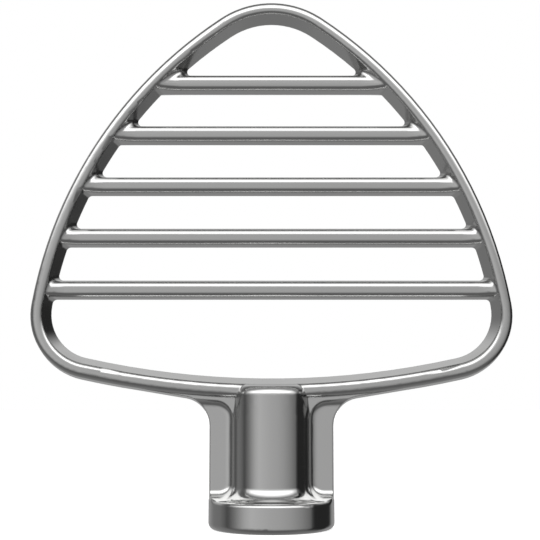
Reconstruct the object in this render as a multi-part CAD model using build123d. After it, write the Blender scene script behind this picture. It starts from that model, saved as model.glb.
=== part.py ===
from build123d import *
import os
from math import asin, cos, degrees, hypot, radians, sin, sqrt, tan

# Flat beater for a tilt-head stand mixer: one polished stainless casting.
# A drafted ring carries five level bars, and a hub below it holds the socket for the mixer's shaft.
# Millimetres. The origin is the centre of the collar's end face, +Z runs up the shaft axis,
# X is across the ring and Y through its thickness. The casting's parting plane is Y = 0.

# Ring outline at the parting plane
overall_height = 146.9
ring_width = 133.4
crown_radius = 25.9
side_radius = 122.0
corner_radius = 18.2
base_radius = 242.1
base_height = 34.6

# Ring section
rim_width = 5.65
rim_base_width = 6.05
rim_half_depth = 5.45
outer_draft = 8.5
inner_draft = 20.0
outer_nose_radius = 1.85
inner_nose_radius = 1.4

# Bars
bar_count = 5
first_bar_height = 65.12
bar_pitch = 14.61
bar_half_height = 2.67
bar_front_half = 0.48
bar_nose_radius = 1.8
bar_draft = 11.4
bar_fillet = 1.3

# Flares where the bars' fronts rise to meet the ring
flare_reach = 3.0
flare_rise = 1.45
flare_end_inset = 2.9
flare_sections = 5

# Collar
collar_radius = 17.15
collar_height = 7.9
collar_rim_fillet = 1.1
collar_end_fillet = 1.8

# Boss and webs
boss_radius = 10.64
boss_foot_fillet = 4.2
boss_top_start = 4.4
boss_top_slope = 6.0
boss_top_fillet = 2.8
skirt_fillet = 3.6
web_half_depth = 4.0
blend_start_drop = 5.1
blend_end_rise = 0.9
blend_bottom = base_height - blend_start_drop
blend_top = base_height + blend_end_rise
blend_half_depth = 5.2
blend_fillet = 3.0
blend_slope = 12.0
blend_reach = 15.0
neck_half_width = 17.05
neck_fillet = 7.6
neck_flare_slope = 9.5
neck_flare_reach = 36.0

# Pockets in the webs
pocket_floor = 2.6
pocket_inner_edge = 11.25
pocket_top_gap = 1.2
pocket_corner_radius = 4.0
pocket_floor_fillet = 2.2
pocket_wall_draft = 30.0
pocket_foot_draft = 15.0

# Socket for the shaft, with a channel for its cross pin and a turn that locks the pin
shaft_diameter = 12.7
shaft_clearance = 0.1
socket_depth = 36.0
pin_channel_width = 5.6
pin_channel_reach = 9.4
pin_turn_angle = 34.0
pin_turn_floor = 24.0
mouth_chamfer = 0.6

# Reach of the cutting blocks, and how close two places are to count as one
OUTSIDE = 60.0
TOUCH = 1e-3


def mirrored(point):
    return (-point[0], point[1])


def beyond(centre, through, radius):
    """The point past a second centre, in line from the first, at a radius from the second."""
    span = hypot(through[0] - centre[0], through[1] - centre[1])
    return tuple(t + radius * (t - c) / span for c, t in zip(centre, through))


def arc_about(centre, radius, start, end):
    """The short arc about a centre from one point to another."""
    middle = [(s + e) / 2 for s, e in zip(start, end)]
    return ThreePointArc(start, on_circle(centre, radius, middle), end)


def on_circle(centre, radius, towards):
    span = hypot(towards[0] - centre[0], towards[1] - centre[1])
    return tuple(c + radius * (t - c) / span for c, t in zip(centre, towards))


def base_centre():
    return (0.0, base_height + base_radius)


def ring_outline(inset, base_inset):
    """The ring's outline in X and Z, moved inwards: crown, two sides, two corners and base, all tangent."""
    top = overall_height - inset
    crown, side, corner = (r - inset for r in (crown_radius, side_radius, corner_radius))
    base = base_radius - base_inset
    crown_centre = (0.0, top - crown)
    corner_x = ring_width / 2 - inset - corner
    corner_centre = (corner_x, base_centre()[1] - sqrt((base - corner) ** 2 - corner_x**2))
    side_centre = circles_meet(crown_centre, side - crown, corner_centre, side - corner)
    shoulder = beyond(side_centre, crown_centre, crown)
    waist = beyond(side_centre, corner_centre, corner)
    heel = beyond(base_centre(), corner_centre, corner)
    edges = [
        ThreePointArc(mirrored(shoulder), (0.0, top), shoulder),
        arc_about(side_centre, side, shoulder, waist),
        arc_about(corner_centre, corner, waist, heel),
        ThreePointArc(heel, (0.0, base_height + base_inset), mirrored(heel)),
        arc_about(mirrored(corner_centre), corner, mirrored(heel), mirrored(waist)),
        arc_about(mirrored(side_centre), side, mirrored(waist), mirrored(shoulder)),
    ]
    return edges, side_centre


def circles_meet(first, first_radius, second, second_radius):
    """The left-hand point where two circles cross."""
    span = hypot(second[0] - first[0], second[1] - first[1])
    along = (first_radius**2 - second_radius**2 + span**2) / (2 * span)
    across = sqrt(first_radius**2 - along**2)
    ux, uz = (second[0] - first[0]) / span, (second[1] - first[1]) / span
    foot_x, foot_z = first[0] + along * ux, first[1] + along * uz
    return min((foot_x + s * across * uz, foot_z - s * across * ux) for s in (1, -1))


def upright(edges):
    """A face in the parting plane, facing the rear half."""
    return Plane.XZ * make_face(Curve(edges))


def rear(face, depth, draft=0.0):
    """A drafted block from the parting plane to a depth in +Y."""
    block = extrude(face, depth, taper=draft)
    return block if block.bounding_box().max.Y > depth / 2 else mirror(block, Plane.XZ)


def rear_ring():
    outer = rear(upright(ring_outline(0.0, 0.0)[0]), rim_half_depth, outer_draft)
    inner = rear(upright(ring_outline(rim_width, rim_base_width)[0]), rim_half_depth, -inner_draft)
    ring = outer - inner
    ring = fillet(list(ring_front(ring).outer_wire().edges()), outer_nose_radius)
    return fillet(list(ring_front(ring).inner_wires()[0].edges()), inner_nose_radius)


def ring_front(ring):
    """The flat face between the ring's two rounded edges."""
    flats = ring.faces().filter_by(GeomType.PLANE)
    return [f for f in flats if abs(f.center().Y - rim_half_depth) < TOUCH][0]


def bar_section(place, height, rise):
    """The bar's section at a place along it, with its nose moved out between the same drafted flanks."""
    slope = radians(bar_draft)
    front_half = bar_front_half - rise * tan(slope)
    nose_y = (bar_half_height - bar_front_half - bar_nose_radius / cos(slope)) / tan(slope) + rise
    nose = (nose_y, front_half)
    flank = (nose_y + bar_nose_radius * sin(slope), front_half + bar_nose_radius * cos(slope))
    front = (nose_y + bar_nose_radius, front_half)
    low = [(p[0], -p[1]) for p in (nose, flank, front)]
    section = [
        Line((0, -bar_half_height), low[1]),
        arc_about(low[0], bar_nose_radius, low[1], low[2]),
        Line(low[2], front),
        arc_about(nose, bar_nose_radius, front, flank),
        Line(flank, (0, bar_half_height)),
        Line((0, bar_half_height), (0, -bar_half_height)),
    ]
    plane = Plane(origin=(place, 0, height), x_dir=(0, 1, 0), z_dir=(1, 0, 0))
    return plane * make_face(Curve(section))


def half_length(height, inset):
    """How far from the middle the ring's outline lies at a height, moved inwards."""
    side_centre = ring_outline(0.0, 0.0)[1]
    return side_centre[0] + sqrt((side_radius - inset) ** 2 - (height - side_centre[1]) ** 2)


def rear_bar(height):
    """One bar: drafted flanks and a rounded nose that flares up to the ring's front at both ends."""
    end = half_length(height, flare_end_inset)
    start = half_length(height, rim_width) - flare_reach
    bar = extrude(bar_section(0, height, 0.0), start, both=True)
    steps = []
    for number in range(flare_sections):
        share = number / (flare_sections - 1)
        steps.append(bar_section(start + share * (end - start), height, flare_rise * share**2))
    flare = loft(steps)
    return bar + flare + mirror(flare, Plane.YZ)


def add_bar(body, height):
    """Joins a bar to the ring and rounds the corners between them."""
    bar = rear_bar(height)
    joined = body + bar
    corners = []
    for edge in joined.edges():
        middle = edge.position_at(0.5)
        if middle.Y > TOUCH and body.distance_to(middle) < TOUCH and bar.distance_to(middle) < TOUCH:
            corners.append(edge)
    return fillet(corners, bar_fillet)


def neck_outline(inset):
    """The hub's outline in X and Z, moved inwards: neck, fillet, then a flare into the ring's base."""
    rise = radians(neck_flare_slope)
    reach_height = base_centre()[1] - sqrt(base_radius**2 - neck_flare_reach**2)
    centre_x = neck_half_width + neck_fillet
    centre_z = reach_height - (neck_flare_reach - centre_x) * tan(rise) - neck_fillet / cos(rise)
    radius = neck_fillet + inset
    start = (centre_x - radius, centre_z)
    end = (centre_x - radius * sin(rise), centre_z + radius * cos(rise))
    reach = (neck_flare_reach - inset * sin(rise), reach_height + inset * cos(rise))
    inside = on_circle(base_centre(), base_radius - rim_base_width / 2, reach)
    foot = (start[0], collar_height)
    crest = (0.0, base_height + rim_base_width / 2)
    return [
        Line(mirrored(foot), foot),
        Line(foot, start),
        arc_about((centre_x, centre_z), radius, start, end),
        Line(end, reach),
        Line(reach, inside),
        ThreePointArc(inside, crest, mirrored(inside)),
        Line(mirrored(inside), mirrored(reach)),
        Line(mirrored(reach), mirrored(end)),
        arc_about((-centre_x, centre_z), radius, mirrored(end), mirrored(start)),
        Line(mirrored(start), mirrored(foot)),
    ]


def boss_section(half_depth, radius, slope, reach):
    """The hub in X and Y: round boss, concave skirts and a front face that may slope back."""
    lean = radians(slope)
    # The skirt's centre lies on the line that is its radius in front of the sloping face
    line_y = half_depth + radius / cos(lean)
    span = boss_radius + radius
    run = tan(lean)
    skirt_x = (line_y * run + sqrt(span**2 * (1 + run**2) - line_y**2)) / (1 + run**2)
    skirt_y = line_y - skirt_x * run
    touch = on_circle((0, 0), boss_radius, (skirt_x, skirt_y))
    level = (skirt_x - radius * sin(lean), skirt_y - radius * cos(lean))
    end = (reach, half_depth - reach * run)
    skirt = arc_about((skirt_x, skirt_y), radius, touch, level)
    mirror_skirt = arc_about((-skirt_x, skirt_y), radius, mirrored(level), mirrored(touch))
    return make_face(
        Curve([
            Line((-reach, 0), mirrored(end)),
            Line(mirrored(end), mirrored(level)),
            mirror_skirt,
            ThreePointArc(mirrored(touch), (0, boss_radius), touch),
            skirt,
            Line(level, end),
            Line(end, (reach, 0)),
            Line((reach, 0), (-reach, 0)),
        ])
    )


def rear_cylinder(radius, height):
    whole = Cylinder(radius, height, align=(Align.CENTER, Align.CENTER, Align.MIN))
    keep = Pos(0, OUTSIDE / 2, height / 2) * Box(2 * OUTSIDE, OUTSIDE, 2 * height)
    return whole & keep


def rear_hub():
    """The rear half of the collar, boss and webs, before the pockets are cut."""
    section = boss_section(web_half_depth, skirt_fillet, 0.0, OUTSIDE)
    column = extrude(Pos(0, 0, collar_height / 2) * section, blend_bottom - collar_height / 2)
    column &= rear_cylinder(collar_radius, OUTSIDE)
    hub = rear_cylinder(collar_radius, collar_height) + column
    on_shoulder = hub.edges().filter_by(lambda e: abs(e.center().Z - collar_height) < TOUCH)
    outer = [e for e in on_shoulder if abs(hypot(e.center().X, e.center().Y) - collar_radius) < TOUCH]
    foot = [e for e in on_shoulder if e.center().Y > TOUCH and not any(e.is_same(o) for o in outer)]
    hub = fillet(foot, boss_foot_fillet)
    rim = [
        e for e in hub.edges()
        if abs(e.center().Z - collar_height) < TOUCH
        and abs(hypot(e.center().X, e.center().Y) - collar_radius) < TOUCH
    ]
    hub = fillet(rim, collar_rim_fillet)
    sides = Plane.XZ * Rectangle(2 * neck_half_width, 4 * OUTSIDE)
    envelope = rear_cylinder(collar_radius, collar_height) + rear(sides, collar_radius, outer_draft)
    inset = web_half_depth * tan(radians(outer_draft))
    web_front = Pos(0, web_half_depth, 0) * upright(neck_outline(inset))
    upper = loft([upright(neck_outline(0.0)), web_front], ruled=True)
    upper -= Box(2 * OUTSIDE, OUTSIDE, 2 * (collar_height + boss_foot_fillet))
    return (hub & envelope) + upper


def pocket(side):
    """The cutter for one pocket: drafted walls and a filleted floor, open at the web's outer edge.

    Its lower wall runs out where it is tangent to the boss's foot fillet, so it stops at that depth.
    """
    lean = radians(90 - pocket_foot_draft)
    run_out = web_half_depth + boss_foot_fillet * (1 - cos(lean))
    run_out_height = collar_height + boss_foot_fillet * (1 - sin(lean))
    depth = run_out - pocket_floor
    bottom = run_out_height + depth * tan(radians(pocket_foot_draft))
    far = neck_half_width + neck_fillet + pocket_corner_radius
    frame = Pos((pocket_inner_edge + far) / 2, OUTSIDE / 2) * Rectangle(far - pocket_inner_edge, OUTSIDE)
    outline = frame - Pos(*base_centre()) * Circle(base_radius + pocket_top_gap)
    outline = fillet(outline.vertices().group_by(Axis.X)[0].sort_by(Axis.Y)[-1], pocket_corner_radius)
    cutter = rear(Plane.XZ * outline, depth, -pocket_wall_draft)
    cutter -= Pos(0, 0, bottom) * Rot(-pocket_foot_draft, 0, 0) * Box(
        4 * OUTSIDE, 2 * OUTSIDE, OUTSIDE, align=(Align.CENTER, Align.CENTER, Align.MAX)
    )
    foot = cutter.faces().sort_by(Axis.Z)[0]
    inner = foot.edges().filter_by(lambda e: e.center().X < pocket_inner_edge)
    heel = [e for e in inner if e.bounding_box().size.Y > depth / 2]
    cutter = fillet(heel, pocket_corner_radius)
    floor_edges = [e for e in cutter.edges() if abs(e.center().Y) < TOUCH and e.center().X < far - TOUCH]
    cutter = Pos(0, pocket_floor, 0) * fillet(floor_edges, pocket_floor_fillet)
    return cutter if side > 0 else mirror(cutter, Plane.YZ)


def rear_boss():
    """The boss's top: its skirts swell out to the ring's front, and its roof rounds over behind it."""
    low = boss_section(web_half_depth, skirt_fillet, 0.0, blend_reach)
    high = Pos(0, 0, blend_top) * boss_section(blend_half_depth, blend_fillet, blend_slope, blend_reach)
    swell = loft([Pos(0, 0, blend_bottom) * low, high], ruled=True)
    inner_edge = base_height + rim_base_width
    wall_drop = boss_top_start * tan(radians(inner_draft))
    above = Pos(0, boss_top_start, inner_edge - wall_drop) * Rot(-boss_top_slope, 0, 0) * Box(
        2 * OUTSIDE, 2 * OUTSIDE, OUTSIDE, align=(Align.CENTER, Align.CENTER, Align.MIN)
    )
    head = extrude(high, inner_edge - blend_top) - above
    roof = head.faces().sort_by(Axis.Z)[-1]
    crest = [e for e in roof.edges() if e.center().Y > TOUCH and abs(e.center().X) < blend_reach - TOUCH]
    return swell + fillet(crest, boss_top_fillet)


def socket():
    """The space for the shaft: a blind bore, a channel for the cross pin and the turn at its end."""
    up = (Align.CENTER, Align.CENTER, Align.MIN)
    bore = Cylinder(shaft_diameter / 2 + shaft_clearance / 2, socket_depth, align=up)
    channel_top = pin_turn_floor + pin_channel_width
    reach = Cylinder(pin_channel_reach, channel_top, align=up)
    one_side = (Align.MIN, Align.CENTER, Align.MIN)
    channel = Box(pin_channel_reach * 2, pin_channel_width, channel_top, align=one_side)
    start = degrees(asin(pin_channel_width / 2 / pin_channel_reach))
    turn = Pos(0, 0, pin_turn_floor) * extrude(
        make_face(
            Curve([
                Line((0, 0), polar(pin_channel_reach * 2, 0)),
                ThreePointArc(
                    polar(pin_channel_reach * 2, 0),
                    polar(pin_channel_reach * 2, (start + pin_turn_angle) / 2),
                    polar(pin_channel_reach * 2, start + pin_turn_angle),
                ),
                Line(polar(pin_channel_reach * 2, start + pin_turn_angle), (0, 0)),
            ])
        ),
        pin_channel_width,
    )
    return bore + (channel & reach) + (turn & reach)


def polar(radius, angle):
    return (radius * cos(radians(angle)), radius * sin(radians(angle)))


def beater():
    rear_half = rear_ring()
    for number in range(bar_count):
        rear_half = add_bar(rear_half, first_bar_height + number * bar_pitch)
    hub = rear_hub() + rear_boss()
    for side in (1, -1):
        hub -= pocket(side)
    rear_half = rear_half + hub
    whole = rear_half + mirror(rear_half, Plane.XZ)
    end_rim = [e for e in whole.edges() if abs(e.center().Z) < TOUCH]
    whole = fillet(end_rim, collar_end_fillet) - socket()
    mouth = [
        e for e in whole.edges().filter_by(GeomType.CIRCLE)
        if abs(e.center().Z) < TOUCH and abs(2 * e.radius - shaft_diameter - shaft_clearance) < TOUCH
    ]
    return chamfer(mouth, mouth_chamfer)


if __name__ == "__main__":
    os.makedirs("parts", exist_ok=True)
    part = beater()
    export_step(part, "parts/flat_beater.step")
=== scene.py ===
from math import radians

import bpy
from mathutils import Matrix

# A polished cast-steel beater, standing on its collar on a pale studio floor.
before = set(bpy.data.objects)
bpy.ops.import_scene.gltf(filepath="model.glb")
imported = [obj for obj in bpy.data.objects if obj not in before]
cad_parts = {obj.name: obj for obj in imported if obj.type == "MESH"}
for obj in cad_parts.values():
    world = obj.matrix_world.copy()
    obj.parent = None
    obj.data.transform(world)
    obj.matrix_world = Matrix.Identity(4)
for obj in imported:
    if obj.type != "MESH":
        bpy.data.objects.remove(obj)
scene = bpy.context.scene
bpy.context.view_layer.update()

# Camera: as high as the hub's top and tilted up a little. Metres, degrees, and millimetres for the lens.
CAMERA_PLACE = (-0.0004, -0.3186, 0.0342)
CAMERA_PITCH = 6.55
LENS = 76.67
SENSOR = 36.0
NEAREST_SEEN = 0.01

# Steel: a satin grain, soft cloudy patches left by the wheel, and rounded arrises. Depths are in metres.
BASE_SHADE = (0.62, 0.62, 0.615, 1)
ROUGHNESS_RANGE = (0.085, 0.135)
PATCH_NOISE = {"Scale": 90.0, "Detail": 3.0, "Roughness": 0.5}
PATCH_RANGE = (0.3, 0.7)
SWELL_NOISE = {"Scale": 160.0, "Detail": 1.0, "Roughness": 0.4}
SWELL_DEPTH = 0.000002
GRAIN_NOISE = {"Scale": 2600.0, "Detail": 2.0, "Roughness": 0.6}
GRAIN_DEPTH = 0.000006
EDGE_ROUNDING = 0.0005
EDGE_SAMPLES = 6

# Floor: pale, matt and glowing a little
FLOOR_SIZE = 8.0
FLOOR_SHADE = (0.9, 0.9, 0.9, 1)
FLOOR_ROUGHNESS = 0.9
FLOOR_GLOW = 0.75

# Light: each direction has the display level that the steel shows where it mirrors that direction.
# Levels past 255 are brighter than white. The gain is a fitted factor on all of them. Angles are in degrees.
WHITE = (1, 1, 1, 1)
WHITE_LEVEL = 255
LIGHT_GAIN = 1.016
LIGHT_SCALE = LIGHT_GAIN / BASE_SHADE[0]
FULL_TURN = 360
# Around the horizon: 0 is the camera's side, 90 the image's right, 180 behind the object
ROUND = [
    (-180, 137), (-162, 132), (-146, 122), (-130, 106), (-108, 103), (-94, 85), (-88, 68), (-82, 78),
    (-70, 108), (-59, 135), (-49, 155), (-37, 167), (-15, 160), (0, 155), (17, 151), (35, 142), (55, 124),
    (65, 111), (75, 96), (79, 60), (84, 34), (89, 27), (97, 26), (107, 31), (115, 48), (121, 84),
    (129, 108), (146, 127), (163, 131), (180, 134),
]
# In the upright plane through the camera: 0 is the camera's side, 90 straight up, 180 behind the object
OVER = [
    (-180, 123), (-165, 124), (-150, 126), (-135, 115), (-120, 107), (-90, 100), (-75, 90), (-60, 84),
    (-45, 84), (-30, 116), (-20, 128), (-10, 136), (0, 147), (10, 163), (20, 206), (25, 235), (30, 265),
    (40, 300), (50, 300), (60, 262), (70, 215), (80, 150), (90, 105), (100, 78), (112, 72), (120, 92),
    (130, 138), (138, 175), (150, 168), (165, 150), (180, 133),
]
# How far above or below the horizon the first table starts to give way to the second, and has done so
ROUND_TO_OVER = (8, 40)
# A black card behind the object on its right: its level, where it fades in and out around the horizon and
# above it, and how many degrees around it leans for each degree up
CARD_LEVEL = 34
CARD_ROUND = (84, 92, 129, 145)
CARD_HEIGHT = (-58, -26, 22, 42)
CARD_LEAN = 0.3


def node(tree, kind, inputs=(), **settings):
    """Adds a shader node. Each input is a plain value, or the output that is linked to it."""
    made = tree.nodes.new(kind)
    for name, value in settings.items():
        setattr(made, name, value)
    for socket, value in dict(inputs).items():
        if isinstance(value, bpy.types.NodeSocket):
            tree.links.new(value, made.inputs[socket])
        else:
            made.inputs[socket].default_value = value
    return made


def maths(tree, operation, *values):
    return node(tree, "ShaderNodeMath", dict(enumerate(values)), operation=operation).outputs[0]


def mix(tree, share, first, second):
    """The first value where the share is 0, the second where it is 1."""
    inputs = {"Factor": share, "A": first, "B": second}
    return node(tree, "ShaderNodeMix", inputs, data_type="FLOAT").outputs[0]


def fade(tree, angle, start, end):
    """A soft step from 0 to 1 between two angles in degrees."""
    span = {"Value": angle, "From Min": radians(start), "From Max": radians(end)}
    return node(tree, "ShaderNodeMapRange", span, interpolation_type="SMOOTHSTEP").outputs[0]


def window(tree, angle, edges):
    """1 between the middle two of four angles, softly down to 0 at the outer two."""
    start, rise, fall, end = edges
    return maths(tree, "SUBTRACT", fade(tree, angle, start, rise), fade(tree, angle, fall, end))


def linear(level):
    """The light of a display level, by the standard display curve, for levels past white too."""
    share = level / WHITE_LEVEL
    return share / 12.92 if share < 0.04045 else ((share + 0.055) / 1.055) ** 2.4


def level_curve(tree, angle, table):
    """The light's strength by an angle from -180 to 180 degrees, straight between the table's points."""
    turns = maths(tree, "MULTIPLY_ADD", angle, 1 / radians(FULL_TURN), 0.5)
    curve = tree.nodes.new("ShaderNodeFloatCurve")
    points = curve.mapping.curves[0].points
    top = max(linear(level) for _, level in table)
    curve.mapping.use_clip = False
    for place, (degrees, level) in enumerate(table):
        spot = (degrees / FULL_TURN + 0.5, linear(level) / top)
        if place == 0:
            points[0].location = spot
        elif place == len(table) - 1:
            points[-1].location = spot
        else:
            points.new(*spot)
    for point in points:
        point.handle_type = "VECTOR"
    curve.mapping.update()
    tree.links.new(turns, curve.inputs["Value"])
    return maths(tree, "MULTIPLY", curve.outputs[0], LIGHT_SCALE * top)


def background(tree, strength):
    return node(tree, "ShaderNodeBackground", {"Color": WHITE, "Strength": strength}).outputs[0]


def noise(tree, place, settings):
    return node(tree, "ShaderNodeTexNoise", {"Vector": place, **settings}).outputs[0]


def bump(tree, height, depth, normal):
    inputs = {"Strength": 1.0, "Distance": depth, "Height": height, "Normal": normal}
    return node(tree, "ShaderNodeBump", inputs).outputs[0]


def photo_camera():
    lens = bpy.data.cameras.new("camera")
    lens.sensor_width = SENSOR
    lens.sensor_fit = "HORIZONTAL"
    lens.lens = LENS
    lens.clip_start = NEAREST_SEEN
    camera = bpy.data.objects.new("camera", lens)
    camera.location = CAMERA_PLACE
    camera.rotation_euler = (radians(90 + CAMERA_PITCH), 0, 0)
    scene.collection.objects.link(camera)
    return camera


def studio_light():
    """A world that lights the steel by direction, and that is plain white where the camera sees it."""
    world = bpy.data.worlds.new("studio")
    world.use_nodes = True
    tree = world.node_tree
    tree.nodes.clear()
    direction = node(tree, "ShaderNodeTexCoord").outputs["Generated"]
    x, y, z = node(tree, "ShaderNodeSeparateXYZ", {0: direction}).outputs
    front = maths(tree, "MULTIPLY", y, -1.0)
    compass = maths(tree, "ARCTAN2", x, front)
    height = maths(tree, "ARCSINE", z)
    around = level_curve(tree, compass, ROUND)
    over = level_curve(tree, maths(tree, "ARCTAN2", z, front), OVER)
    steep = fade(tree, maths(tree, "ABSOLUTE", height), *ROUND_TO_OVER)
    leaning = maths(tree, "MULTIPLY_ADD", height, -CARD_LEAN, compass)
    card = maths(tree, "MULTIPLY", window(tree, leaning, CARD_ROUND), window(tree, height, CARD_HEIGHT))
    light = mix(tree, card, mix(tree, steep, around, over), LIGHT_SCALE * linear(CARD_LEVEL))
    seen = node(tree, "ShaderNodeLightPath").outputs["Is Camera Ray"]
    shaders = {0: seen, 1: background(tree, light), 2: background(tree, 1.0)}
    both = node(tree, "ShaderNodeMixShader", shaders).outputs[0]
    node(tree, "ShaderNodeOutputWorld", {"Surface": both})
    return world


def pale_floor():
    """A floor under the object that its steel doesn't mirror."""
    bpy.ops.mesh.primitive_plane_add(size=FLOOR_SIZE, location=(0, 0, 0))
    floor = bpy.context.object
    floor.name = "floor"
    floor.visible_glossy = False
    paint = bpy.data.materials.new("pale_floor")
    paint.use_nodes = True
    shader = paint.node_tree.nodes["Principled BSDF"]
    shader.inputs["Base Color"].default_value = FLOOR_SHADE
    shader.inputs["Roughness"].default_value = FLOOR_ROUGHNESS
    shader.inputs["Specular IOR Level"].default_value = 0.0
    shader.inputs["Emission Color"].default_value = WHITE
    shader.inputs["Emission Strength"].default_value = FLOOR_GLOW
    floor.data.materials.append(paint)


def polished_steel():
    steel = bpy.data.materials.new("polished_steel")
    steel.use_nodes = True
    tree = steel.node_tree
    place = node(tree, "ShaderNodeTexCoord").outputs["Object"]
    patches = {"Value": noise(tree, place, PATCH_NOISE)}
    patches["From Min"], patches["From Max"] = PATCH_RANGE
    patches["To Min"], patches["To Max"] = ROUGHNESS_RANGE
    polish = node(tree, "ShaderNodeMapRange", patches).outputs[0]
    rounded = node(tree, "ShaderNodeBevel", {"Radius": EDGE_ROUNDING}, samples=EDGE_SAMPLES).outputs[0]
    waved = bump(tree, noise(tree, place, SWELL_NOISE), SWELL_DEPTH, rounded)
    grained = bump(tree, noise(tree, place, GRAIN_NOISE), GRAIN_DEPTH, waved)
    shader = tree.nodes["Principled BSDF"]
    shader.inputs["Base Color"].default_value = BASE_SHADE
    shader.inputs["Metallic"].default_value = 1.0
    tree.links.new(polish, shader.inputs["Roughness"])
    tree.links.new(grained, shader.inputs["Normal"])
    return steel


scene.camera = photo_camera()
scene.world = studio_light()
scene.view_settings.view_transform = "Standard"
scene.view_settings.look = "None"
pale_floor()
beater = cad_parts["flat_beater"]
beater.data.materials.clear()
beater.data.materials.append(polished_steel())
